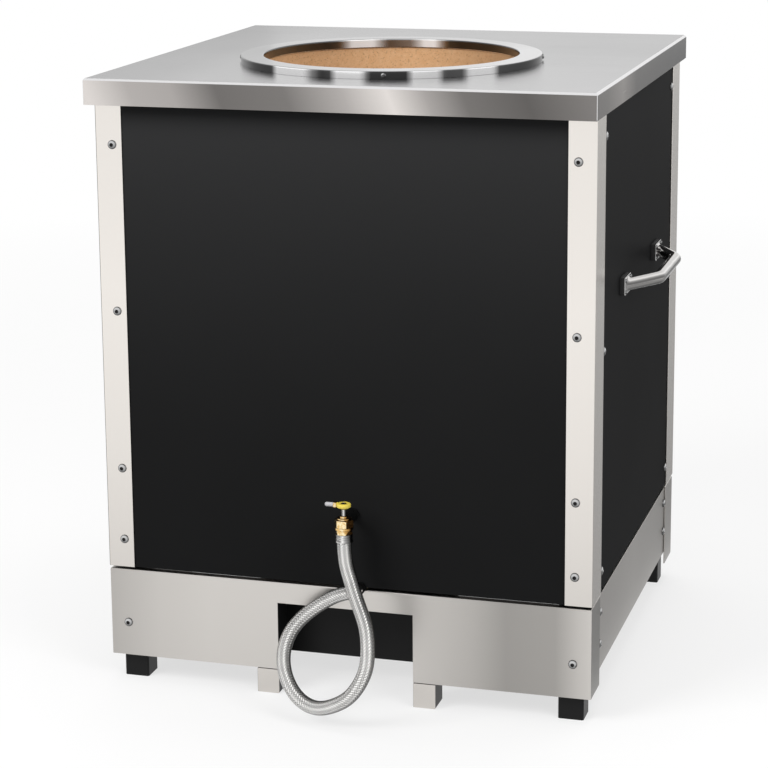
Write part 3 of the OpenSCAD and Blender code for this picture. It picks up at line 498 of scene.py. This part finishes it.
def strand_steel():
    """Drawn wires that lie side by side in a strand, painted brighter where the hose faces the front and up, with
    painted shade at each strand's edges, and the strands that go round the other way painted darker as a painted
    reflection.

    The map's u runs from 0 to 1 across it, and from 2 to 3 on the strands that go round the other way.
    """
    s = Shader("strand_steel", Metallic=1.0)
    u = s.add("SeparateXYZ", {0: s.add("UVMap", uv_map="strand").outputs[0]}).outputs[0]
    across = s.math("FRACT", u)
    other = s.above(u, 1.5)
    wires = s.math("SINE", s.times(across, 2 * pi * WIRES))
    middle = s.math("SINE", s.times(across, pi))
    worn = s.noise(s.point(), 60.0, 3)
    x, y, z = s.facing()
    # Painted light: brighter where the strands face the front and up; painted shade at each strand's edges; the
    # other set painted darker as a painted reflection.
    front = s.plus(s.times(y, -0.93), s.plus(s.times(x, -0.12), s.times(z, 0.34)))
    share = s.times(s.math("POWER", middle, 0.45), s.plus(s.scaled(worn, 0.3, 0.85), s.times(wires, 0.15)))
    share = s.times(s.times(share, s.ramp(front, *STRAND_LIGHT)), s.scaled(other, -0.45, 1.15))
    s.set("Base Color", s.mix(s.math("MINIMUM", share, 1.0), (0.03, 0.029, 0.028), (1.0, 0.99, 0.97)))
    s.set("Roughness", s.scaled(worn, 0.10, 0.16))
    s.set("Normal", s.bump(wires, 0.00006, 1.0))
    return s.material


FINISH = {
    "stainless_bright": brushed("bright_trim", (0.86, 0.82, 0.775), 0.24, "upright", 0.08, 0.35),
    "stainless_top": brushed("brushed_top", (0.58, 0.575, 0.58), 0.25, "plate", 0.10, 0.5),
    "stainless_skirt": brushed("brushed_skirt", (0.63, 0.605, 0.575), 0.33, "level", 0.10, 0.4),
    "polished_steel": polished_steel(),
    # Painted light: the black panel's coat is painted paler towards its top.
    "black_panel": coated("black_powder_coat", (0.0137, 0.0138, 0.0141), 0.46, 0.5, 0.006, 2.1),
    "black_tube": coated("black_enamel", (0.009, 0.009, 0.0092), 0.38, 0.7, 0.18),
    "dark_steel": rolled_steel(),
    "clay": clay(),
    "fire_tile": coated("fire_tile", (0.46, 0.34, 0.23), 0.85, 1.0, 0.2),
    "fibre_fill": fibre(),
    "cast_iron": cast_iron(),
    "brass": turned("turned_brass", BRASS_TONES, 0.5),
    "yellow_grip": moulded("yellow_dip", (1.0, 0.79, 0.115), 0.26),
    "pale_sleeve": moulded("pale_sleeve", (0.62, 0.61, 0.63), 0.40),
    "black_pad": coated("black_rubber", (0.012, 0.012, 0.012), 0.60, 0.9),
    "braid": strand_steel(),
}
CORE = coated("hose_core", (0.02, 0.02, 0.02), 0.6)
# Painted shade: a near-black coat with little gloss for the valve's nipple and the elbow's lock nut, so that they
# show as the shade round them.
SHADOW_BLACK = coated("nipple_black", (0.0055, 0.0055, 0.0055), 0.5, 0.5, 0.02)
TURNED_GREY = turned("turned_grey", GREY_TONES, 0.12)
BUTTON_STEEL = button_steel()
BAR_STEEL = drawn_bar()

SLOT_OF = {part["node"]: part["material_slot"] for part in frame["record"]["subparts"]}

for name, cad in frame["nodes"].items():
    cad.data.materials.clear()
    cad.data.materials.append(FINISH[SLOT_OF[name]])


# ---- building blocks ----

def add_piece(name, mesh, nodes, body=BODY, slot=None, finish=None):
    """Puts a mesh into the scene as a piece that stands for some CAD nodes."""
    piece = bpy.data.objects.new(name, mesh)
    bpy.context.scene.collection.objects.link(piece)
    slot = slot or SLOT_OF[nodes[0]]
    if not mesh.materials:
        mesh.materials.append(finish or FINISH[slot])
    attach(piece, body)
    if nodes:
        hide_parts(*nodes)
    return piece


def weighted(piece):
    """Keeps flat faces flat beside their rounded edges."""
    modifier = piece.modifiers.new("normals", "WEIGHTED_NORMAL")
    modifier.keep_sharp = True
    modifier.weight = 100
    return piece


def to_mesh(name, bm, sharp=40):
    """A smooth mesh with sharp edges from the given angle on, in degrees."""
    bmesh.ops.recalc_face_normals(bm, faces=bm.faces)
    mesh = bpy.data.meshes.new(name)
    bm.to_mesh(mesh)
    bm.free()
    mesh.shade_smooth()
    mesh.set_sharp_from_angle(angle=radians(sharp))
    return mesh


def refined(name, node, width, segments=2, body=BODY, angle=34, finish=None):
    """A copy of a CAD node's mesh with its edges rounded where they are sharper than the angle, in degrees."""
    same_place, same_plane, sharp = 2e-6, radians(0.6), 50
    bm = bmesh.new()
    bm.from_mesh(frame["nodes"][node].data)
    bmesh.ops.remove_doubles(bm, verts=bm.verts, dist=same_place)
    bmesh.ops.dissolve_limit(bm, angle_limit=same_plane, verts=bm.verts, edges=bm.edges)
    edges = [e for e in bm.edges if e.is_manifold and e.calc_face_angle(0) > radians(angle)]
    bmesh.ops.bevel(bm, geom=edges, offset=width, segments=segments, profile=0.5,
                    affect="EDGES", clamp_overlap=True)
    return weighted(add_piece(name, to_mesh(name, bm, sharp), [node], body, finish=finish))


def circle(r, z, sides):
    """Points on a level circle about the Z axis."""
    return [(r * cos(2 * pi * k / sides), r * sin(2 * pi * k / sides), z) for k in range(sides)]


def join(bm, rings):
    """Faces between each ring of points and the next."""
    faces = []
    for low, high in zip(rings, rings[1:]):
        for k in range(len(low)):
            n = (k + 1) % len(low)
            faces.append(bm.faces.new((low[k], low[n], high[n], high[k])))
    return faces


def lathe_into(bm, profile, turn, sides):
    """Turns a closed (radius, height) profile about the matrix's Z axis."""
    rings = [[bm.verts.new(turn @ Vector(p)) for p in circle(r, h, sides)] for r, h in profile]
    join(bm, rings + rings[:1])


def axis_matrix(origin, direction):
    """Moves +Z onto a direction, at an origin."""
    turn = Vector(direction).normalized().to_track_quat("Z", "Y").to_matrix().to_4x4()
    return Matrix.Translation(origin) @ turn


def arc(cx, cy, r, start, end, steps):
    """Points on an arc, angles in degrees."""
    return [(cx + r * cos(radians(start + (end - start) * i / steps)),
             cy + r * sin(radians(start + (end - start) * i / steps))) for i in range(steps + 1)]


# ---- hose ----

HOSE_ROUTE = [Vector(p) * MM for p in (
    (14, -384, 258), (15, -385, 240), (19, -389, 222), (27, -396, 204), (38, -408, 184), (50, -421, 166),
    (61, -435, 146), (66, -446, 122), (65, -451, 98), (56, -453, 74), (39, -452, 51), (15, -449, 35),
    (-10, -446, 28), (-35, -440, 34), (-56, -430, 52), (-69, -416, 77), (-71, -400, 101), (-64, -385, 121),
    (-49, -371, 138), (-29, -362, 153), (-8, -357, 165), (11, -357, 172))]
HOSE_START = Vector((0, 0, -1))
HOSE_END = Vector((cos(radians(15)), 0, sin(radians(15))))


def smooth_line(points, first, last, count):
    """Evenly spaced points on a clamped cubic spline through the given points, and its length."""
    n, fineness = len(points), 40
    step = [(points[i + 1] - points[i]).length for i in range(n - 1)]
    slope = [None] * n
    slope[0], slope[-1] = first.normalized(), last.normalized()
    low = [0.0] * n
    right = [Vector((0, 0, 0))] * n
    right[0] = slope[0]
    for i in range(1, n - 1):
        a, b = step[i], step[i - 1]
        target = 3 * (a / b * (points[i] - points[i - 1]) + b / a * (points[i + 1] - points[i]))
        pivot = 2 * (a + b) - a * low[i - 1]
        low[i] = b / pivot
        right[i] = (target - a * right[i - 1]) / pivot
    for i in range(n - 2, 0, -1):
        slope[i] = right[i] - low[i] * slope[i + 1]
    fine = []
    for i in range(n - 1):
        h = step[i]
        for k in range(fineness):
            t = k / fineness
            fine.append((2 * t ** 3 - 3 * t ** 2 + 1) * points[i] + (t ** 3 - 2 * t ** 2 + t) * h * slope[i]
                        + (3 * t ** 2 - 2 * t ** 3) * points[i + 1] + (t ** 3 - t ** 2) * h * slope[i + 1])
    fine.append(points[-1])
    run = [0.0]
    for a, b in zip(fine, fine[1:]):
        run.append(run[-1] + (b - a).length)
    even, j = [], 0
    for k in range(count):
        goal = run[-1] * k / (count - 1)
        while j < len(run) - 2 and run[j + 1] < goal:
            j += 1
        share = (goal - run[j]) / (run[j + 1] - run[j])
        even.append(fine[j].lerp(fine[j + 1], min(share, 1.0)))
    return even, run[-1]


def frames(points, first, last, side):
    """(point, side, cross) along a line, turned as little as possible."""
    out = []
    for i, p in enumerate(points):
        t = first if i == 0 else last if i == len(points) - 1 else points[i + 1] - points[i - 1]
        t = t.normalized()
        side = (side - side.dot(t) * t).normalized()
        out.append((p, side, t.cross(side)))
    return out


def make_hose():
    """A dark core inside two sets of flat strands that cross two over, two under."""
    strands, lay_angle, cover = 16, radians(42), 0.93
    mid, rise, crown = 9.85 * MM, 0.32 * MM, 0.24 * MM
    core_r, core_sides, last = 9.1 * MM, 20, 760
    line, length = smooth_line(HOSE_ROUTE, HOSE_START, HOSE_END, last + 1)
    places = frames(line, HOSE_START, HOSE_END, Vector((1, 0, 0)))
    spin = tan(lay_angle) / mid
    half = pi * mid / strands * cos(lay_angle) * cover
    bm = bmesh.new()
    uv = bm.loops.layers.uv.new("strand")
    for way in (1, -1):
        for k in range(strands):
            rows = []
            for i, (p, side, cross) in enumerate(places):
                run = length * i / last
                angle = 2 * pi * k / strands + way * spin * run
                met = strands * spin * run / pi
                phase = 2 * k + met if way == 1 else 2 * k - met
                lift = max(-1.0, min(1.0, 1.5 * cos((phase - 0.5) * pi / 2)))
                radius = mid + way * lift * rise
                row = []
                for j in (-1, 0, 1):
                    turn = angle + j * half * cos(lay_angle) / mid
                    shift = -way * j * half * sin(lay_angle)
                    r = radius + (crown if j == 0 else 0)
                    near = min(max(i + shift / length * last, 0), last)
                    at = int(min(near, last - 1))
                    q, s, c = places[at]
                    q2, s2, c2 = places[at + 1]
                    w = near - at
                    direction = cos(turn) * s.lerp(s2, w) + sin(turn) * c.lerp(c2, w)
                    row.append(bm.verts.new(q.lerp(q2, w) + r * direction))
                rows.append(row)
            for i, (a, b) in enumerate(zip(rows, rows[1:])):
                for j in (0, 1):
                    corners = [a[j], a[j + 1], b[j + 1], b[j]]
                    if way == 1:
                        corners.reverse()
                    face = bm.faces.new(corners)
                    for loop in face.loops:
                        edge = (a + b).index(loop.vert) % 3
                        loop[uv].uv = (0.01 + 0.49 * edge + (0 if way == 1 else 2), i / 4)
    core = [[bm.verts.new(p + x * side + y * cross) for x, y, _ in circle(core_r, 0, core_sides)]
            for p, side, cross in places[::4]]
    for face in join(bm, core):
        face.material_index = 1
    mesh = bpy.data.meshes.new("hose_braid")
    bm.to_mesh(mesh)
    bm.free()
    mesh.shade_smooth()
    mesh.materials.append(FINISH["braid"])
    mesh.materials.append(CORE)
    return add_piece("hose_braid", mesh, ["hose"]), line[::8]


def ferrule(name, node, origin, direction, length, r, lip):
    """A crimped sleeve: flared lip, two rolled grooves and a rounded end."""
    profile = [(r - 2.4, 0.6), (r - 1.4, 0.1)] + arc(r + lip - 0.7, 0.7, 0.7, -90, 60, 5)
    profile += [(r, 2.1), (r, 3.6)]
    for z in (4.2, 6.8) if length > 9 else ():
        profile += [(r - 0.12, z), (r - 0.5, z + 0.5), (r - 0.5, z + 0.9), (r - 0.12, z + 1.4), (r, z + 1.8)]
    profile += [(r, length - 1.0)] + arc(r - 0.8, length - 0.8, 0.8, 0, 90, 4) + [(r - 3.0, length)]
    bm = bmesh.new()
    lathe_into(bm, [(a * MM, b * MM) for a, b in profile], axis_matrix(origin, direction), 64)
    return add_piece(name, to_mesh(name, bm), [node], finish=TURNED_GREY)


hose, hose_line = make_hose()
upper_ferrule = ferrule("hose_ferrule_crimped", "hose_ferrule", HOSE_ROUTE[0], (0, 0, 1), 12, 12.4, 0.8)
lower_ferrule = ferrule("elbow_ferrule_crimped", "elbow_ferrule", HOSE_ROUTE[-1], HOSE_END, 6, 11.3, 0.3)
union = refined("hose_union_nut", "hose_nut", 0.35 * MM, 2, angle=18)


# ---- sheet metal ----

refined("plate_folded", "top_plate", 0.8 * MM, 3)
for side in ("left", "right"):
    refined("panel_%s_coated" % side, "panel_" + side, 0.7 * MM)
    refined("skirt_%s_folded" % side, "skirt_" + side, 0.5 * MM)
    refined("leg_%s_tube" % side, "leg_" + side, 1.0 * MM, 3)
    refined("leg_face_%s_sheet" % side, "leg_face_" + side, 0.4 * MM)
    for end in ("front", "back"):
        refined("trim_%s_%s_angle" % (end, side), "trim_%s_%s" % (end, side), 0.4 * MM)
        refined("post_%s_%s_tube" % (end, side), "post_%s_%s" % (end, side), 0.8 * MM)
for end in ("front", "back"):
    refined("panel_%s_coated" % end, "panel_" + end, 0.7 * MM)
    refined("skirt_%s_folded" % end, "skirt_" + end, 0.4 * MM)
refined("shield_sheet", "burner_shield", 0.5 * MM)


# ---- mouth ring ----

def make_ring():
    """The ring as one turned channel with rolled edges."""
    r, outer, top, t, collar = RING_BORE, RING_R, 11.5, 2, 1.5
    place = Matrix.Translation(Vector((0, RING_Y, PLATE_TOP)) * MM)
    profile = [(r, -collar + 0.4), (r, top - 2)] + arc(r + 2, top - 2, 2, 180, 90, 6)
    profile += arc(outer - 2, top - 2, 2, 90, 0, 6) + [(outer, 0.5), (outer - 0.3, 0.05), (outer - t, 0.05)]
    profile += [(outer - t, top - t), (r + t, top - t), (r + t, -collar + 0.4), (r + t / 2, -collar)]
    bm = bmesh.new()
    lathe_into(bm, [(a * MM, b * MM) for a, b in profile], place, 288)
    return weighted(add_piece("mouth_ring_turned", to_mesh("mouth_ring_turned", bm, 50), ["mouth_ring"],
                              finish=turned_ring()))


make_ring()


# ---- screws ----

def screw_into(bm, turn, d, h, w):
    """A domed head with a hexagon socket, standing on the matrix's plane z = 0."""
    sides, steps, socket_depth = 36, 7, 1.7
    edge = h * 0.28
    rise = h - edge
    ball = ((d / 2) ** 2 + rise ** 2) / (2 * rise)
    rim = w / 2 / cos(pi / 6) + 0.35
    shoulder = d / 2 - 0.12

    def dome(r):
        return h - ball + sqrt(ball ** 2 - r ** 2)

    def hexagon(grow, z):
        ring = []
        for k in range(sides):
            a = 2 * pi * k / sides
            r = (w / 2 + grow) / cos((a + pi / 6) % (pi / 3) - pi / 6)
            ring.append((r * cos(a), r * sin(a), z))
        return ring

    circles = [(d / 2 - 0.25, 0.0), (d / 2, 0.25), (d / 2, edge - 0.25), (shoulder, dome(shoulder))]
    for i in range(1, steps + 1):
        r = shoulder - (shoulder - rim) * i / steps
        circles.append((r, dome(r)))
    rings = [circle(r, z, sides) for r, z in circles]
    rings += [hexagon(0.12, dome(w / 2)), hexagon(0.0, dome(w / 2) - 0.2), hexagon(-0.05, h - socket_depth)]
    made = [[bm.verts.new(turn @ (Vector(p) * MM)) for p in ring] for ring in rings]
    join(bm, made)
    bm.faces.new(made[-1])
    bm.faces.new(list(reversed(made[0])))


def screws(name, node, places, d=13, h=3.6, w=5, body=BODY, finish=None):
    """Screw heads at (place, direction) pairs, each turned a little further than the one before."""
    bm = bmesh.new()
    for i, (origin, direction) in enumerate(places):
        roll = Matrix.Rotation(radians(37 * i), 4, "Z")
        screw_into(bm, axis_matrix([c * MM for c in origin], direction) @ roll, d, h, w)
    return add_piece(name, to_mesh(name, bm, 42), [node], body, finish=finish or BUTTON_STEEL)


def round_ring(angle):
    """The place of a screw in the mouth ring's outer wall, and the way it looks."""
    c, n = cos(radians(angle)), sin(radians(angle))
    r = RING_R + 0.1
    return (r * c, RING_Y + r * n, PLATE_TOP + 5.75), (c, n, 0)


screws("trim_screw_heads", "trim_screws",
       [((sx * 339.5, sy * HALF_DEPTH, z), (0, sy, 0))
        for sx in SIDES for sy in SIDES for z in (219, 328, 565, 809)])
screws("panel_screw_heads", "panel_screws",
       [((sx * 362.8, sy * 270, z), (sx, 0, 0)) for sx in SIDES for sy in SIDES for z in (207, 530, 835)])
screws("skirt_screw_heads", "skirt_screws",
       [((sx * 361.8, sy * 270, z), (sx, 0, 0)) for sx in SIDES for sy in SIDES for z in (97, 145)]
       + [((sx * 337.5, sy * 341, 89), (0, sy, 0)) for sx in SIDES for sy in SIDES])
screws("ring_screw_heads", "ring_screws", [round_ring(angle) for angle in (13, 103, 193, 283)], 7.5, 2.6, 3)
screws("handle_screw_heads", "handle_screws",
       [((sx * HANDLE_FACE, sy * HANDLE_FOOT + dy * 18.5, HANDLE_Z + dz * 8.5), (sx, 0, 0))
        for sx in SIDES for sy in SIDES for dy in SIDES for dz in SIDES], 6, 2.4, 2.5)
screws("lever_screw_head", "lever_screw", [((VALVE_X, VALVE_Y, 313.5), (0, 0, 1))], 9, 2, 3, LEVER, TURNED_GREY)


# ---- handles ----

WELD = ((4, 0.0), (2.0, 0.15), (0.9, 0.8), (0.3, 1.7), (-0.4, 2.4))    # (height over the plate, swell)


def make_handle(side):
    """A bent bar whose slanted legs run into a small weld on the plates."""
    reach, grip, bend, r, sides, straight, steps = 36, 72, 28, 9.2, 40, 6, 12
    outer = HANDLE_FACE + reach
    turn = atan(reach / (HANDLE_FOOT - grip))
    bend_y = grip - bend * tan(turn / 2)
    path = [(outer, bend_y * i / straight, 0) for i in range(straight)]
    for i in range(steps + 1):
        a = turn * i / steps
        path.append((outer - bend * (1 - cos(a)), bend_y + bend * sin(a), a))
    bm = bmesh.new()
    for way in SIDES:
        rings = [[(x + u * cos(a), y + u * sin(a), HANDLE_Z + v) for u, v, _ in circle(r, 0, sides)]
                 for x, y, a in path]
        last = rings[-1]
        for height, swell in WELD:
            ring = []
            for (x, y, z), (u, v, _) in zip(last, circle(swell, 0, sides)):
                t = (x - HANDLE_FACE - height) / sin(turn)
                ring.append((HANDLE_FACE + height, y + t * cos(turn) + u * 1.3, z + v))
            rings.append(ring)
        join(bm, [[bm.verts.new(Vector((side * x, way * y, z)) * MM) for x, y, z in ring] for ring in rings])
    bmesh.ops.remove_doubles(bm, verts=bm.verts, dist=1e-6)
    word = "right" if side > 0 else "left"
    name = "handle_%s_bent" % word
    add_piece(name, to_mesh(name, bm, 60), ["handle_bar_" + word], finish=BAR_STEEL)


for side in SIDES:
    make_handle(side)
refined("handle_plates_polished", "handle_plates", 0.5 * MM, 3, angle=50)
refined("handle_pads_moulded", "handle_pads", 0.6 * MM, 2, angle=50)


# ---- valve ----

def lever_collar():
    """The thin brass collar between the dipped hub and the sleeve on the arm."""
    bm = bmesh.new()
    profile = [(3.4, 0)] + arc(3.9, 0.5, 0.5, -90, 0, 3) + arc(3.9, 4.2, 0.5, 0, 90, 3) + [(3.4, 4.7)]
    place = Vector((-0.8, VALVE_Y, 311.5)) * MM
    lathe_into(bm, [(r * MM, h * MM) for r, h in profile], axis_matrix(place, (1, 0, 0)), 36)
    add_piece("lever_collar_gold", to_mesh("lever_collar_gold", bm), [], LEVER, "brass")


refined("valve_body_brass", "valve_body", 0.5 * MM, 2, angle=20)
refined("valve_nipple_black", "valve_nipple", 0.3 * MM, 2, angle=20, finish=SHADOW_BLACK)
refined("valve_gland_brass", "valve_bonnet", 0.6 * MM, 2)
refined("valve_stem_steel", "valve_stem", 0.3 * MM, 2, LEVER, finish=TURNED_GREY)
refined("valve_lever_dipped", "valve_lever", 0.6 * MM, 3, LEVER)
lever_collar()
refined("lever_sleeve_pale", "lever_sleeve", 0.2 * MM, 2, LEVER)
# Painted shade: the elbow's lock nut is coloured near black to show as shade.
refined("elbow_lock_nut", "elbow_nut", 0.4 * MM, 2, angle=20, finish=SHADOW_BLACK)


# ---- stage ----

WHITE = (1.0, 1.0, 1.0, 1.0)


def plane(name, centre, size, material, rotation=(0, 0, 0)):
    """A flat board of the stage, turned by angles in degrees."""
    bm = bmesh.new()
    x, y = size[0] / 2, size[1] / 2
    bm.faces.new([bm.verts.new(p) for p in ((-x, -y, 0), (x, -y, 0), (x, y, 0), (-x, y, 0))])
    mesh = bpy.data.meshes.new(name)
    bm.to_mesh(mesh)
    bm.free()
    mesh.materials.append(material)
    piece = bpy.data.objects.new(name, mesh)
    piece.location = centre
    piece.rotation_euler = [radians(a) for a in rotation]
    bpy.context.scene.collection.objects.link(piece)
    return piece


def floor_material():
    """White floor: it keeps the object's shadow near by and fades to plain white further out."""
    near_glow = 0.68
    s = Shader("floor_white", Roughness=0.9, Specular_IOR_Level=0.0)
    x, y, _ = s.place()
    away = s.math("SQRT", s.plus(s.times(x, x), s.times(y, y)))
    far = s.ramp(s.times(away, 0.2), (0.20, 0.0), (0.75, 1.0))
    seen = s.seen()
    s.set("Base Color", s.mix(s.times(far, seen), (0.30, 0.30, 0.30), (0.0, 0.0, 0.0)))
    s.set("Emission Color", WHITE)
    s.set("Emission Strength", s.times(seen, s.plus(s.times(s.rest(far), near_glow), far)))
    return s.material


def flag(name, centre, size, rotation, glow):
    """A grey board beside the set that only reflections see."""
    s = Shader(name, Base_Color=(0.0, 0.0, 0.0, 1.0), Roughness=0.9, Specular_IOR_Level=0.0)
    s.set("Emission Color", WHITE)
    s.set("Emission Strength", s.times(s.seen(), glow))
    board = plane(name, centre, size, s.material, rotation)
    board.visible_camera = False
    board.visible_diffuse = False
    board.visible_shadow = False


def lamp(name, place, aim, size, power):
    """A square soft light that doesn't show in reflections."""
    data = bpy.data.lights.new(name, "AREA")
    data.shape = "RECTANGLE"
    data.size = data.size_y = size
    data.energy = power
    thing = bpy.data.objects.new(name, data)
    thing.location = place
    thing.rotation_euler = (Vector(aim) - Vector(place)).to_track_quat("-Z", "Y").to_euler()
    thing.visible_glossy = False
    bpy.context.scene.collection.objects.link(thing)


class Sky(Shader):
    """The same short calls for a world's node tree."""

    def __init__(self, name):
        self.world = bpy.data.worlds.new(name)
        self.world.use_nodes = True
        self.tree = self.world.node_tree
        self.surface = self.tree.nodes["Background"]


def make_world():
    """White all round: full to the camera and in reflections, weaker as light on the object."""
    light = 0.45
    sky = Sky("studio")
    sky.set("Color", WHITE)
    sky.set("Strength", sky.scaled(sky.seen(), 1 - light, light))
    bpy.context.scene.world = sky.world


plane("floor", (0, 0, -0.0002), (40, 40), floor_material())

lamp("key", (-2.6, -3.4, 3.4), (0, 0, 0.45), 2.4, 145)
lamp("fill", (3.2, -2.4, 2.6), (0, 0, 0.45), 2.0, 60)
lamp("over", (0.2, 0.6, 4.0), (0, 0, 0.5), 2.6, 60)

flag("flag_right", (1.5, 4.3, 0.0005), (2.2, 9.5), (0, 0, 0), 0.42)
flag("flag_back_left", (-2.1, 2.6, 1.5), (2.0, 1.6), (90, 0, 0), 0.85)

make_world()
bpy.context.scene.view_settings.view_transform = "Standard"
